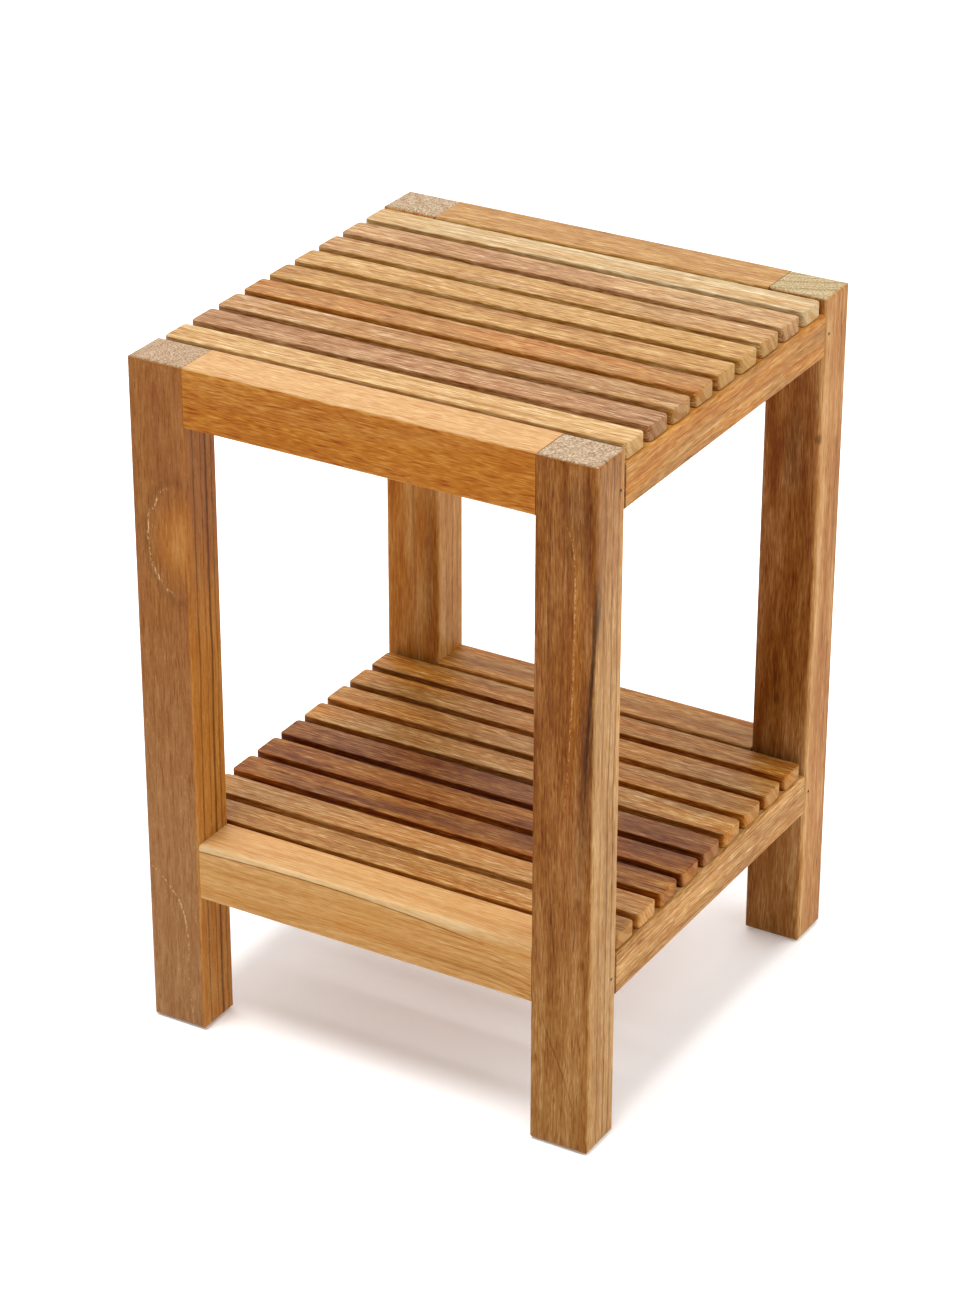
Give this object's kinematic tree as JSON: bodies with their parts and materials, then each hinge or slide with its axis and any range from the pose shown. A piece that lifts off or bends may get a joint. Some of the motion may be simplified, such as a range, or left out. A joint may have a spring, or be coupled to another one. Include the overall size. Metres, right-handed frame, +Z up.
{
  "type": "teak shower bench",
  "caption": "Small backless teak bench with a slatted seat and a slatted shelf below it, on four square legs with mortise and tenon rails.",
  "frame": {"origin": "on the floor under the middle of the bench, at the bottom centre of its bounding box", "axes": "+Z up; +X to the right along the slats; -Y is the front, so +Y runs from front to back"},
  "size_m": [0.312, 0.316, 0.45],
  "materials": {
    "oiled_teak": "sanded teak with a thin oil finish: soft sheen, straight grain, tone varies from board to board",
    "stainless_steel": "stainless wood screws, slightly dulled",
    "steel_pin": "steel pins with dark, set heads"
  },
  "bodies": {
    "root": {"leg_front_left": "oiled_teak", "leg_front_right": "oiled_teak", "leg_back_left": "oiled_teak", "leg_back_right": "oiled_teak", "seat_front_rail": "oiled_teak", "seat_back_rail": "oiled_teak", "seat_side_rail_left": "oiled_teak", "seat_side_rail_right": "oiled_teak", "shelf_front_rail": "oiled_teak", "shelf_back_rail": "oiled_teak", "shelf_side_rail_left": "oiled_teak", "shelf_side_rail_right": "oiled_teak", "seat_slat_1": "oiled_teak", "seat_slat_2": "oiled_teak", "seat_slat_3": "oiled_teak", "seat_slat_4": "oiled_teak", "seat_slat_5": "oiled_teak", "seat_slat_6": "oiled_teak", "seat_slat_7": "oiled_teak", "seat_slat_8": "oiled_teak", "seat_slat_9": "oiled_teak", "shelf_slat_1": "oiled_teak", "shelf_slat_2": "oiled_teak", "shelf_slat_3": "oiled_teak", "shelf_slat_4": "oiled_teak", "shelf_slat_5": "oiled_teak", "shelf_slat_6": "oiled_teak", "shelf_slat_7": "oiled_teak", "shelf_slat_8": "oiled_teak", "shelf_slat_9": "oiled_teak", "seat_tenon_pins": "steel_pin", "seat_slat_screws": "stainless_steel", "shelf_tenon_pins": "steel_pin", "shelf_slat_screws": "stainless_steel"}
  },
  "joints": []
}
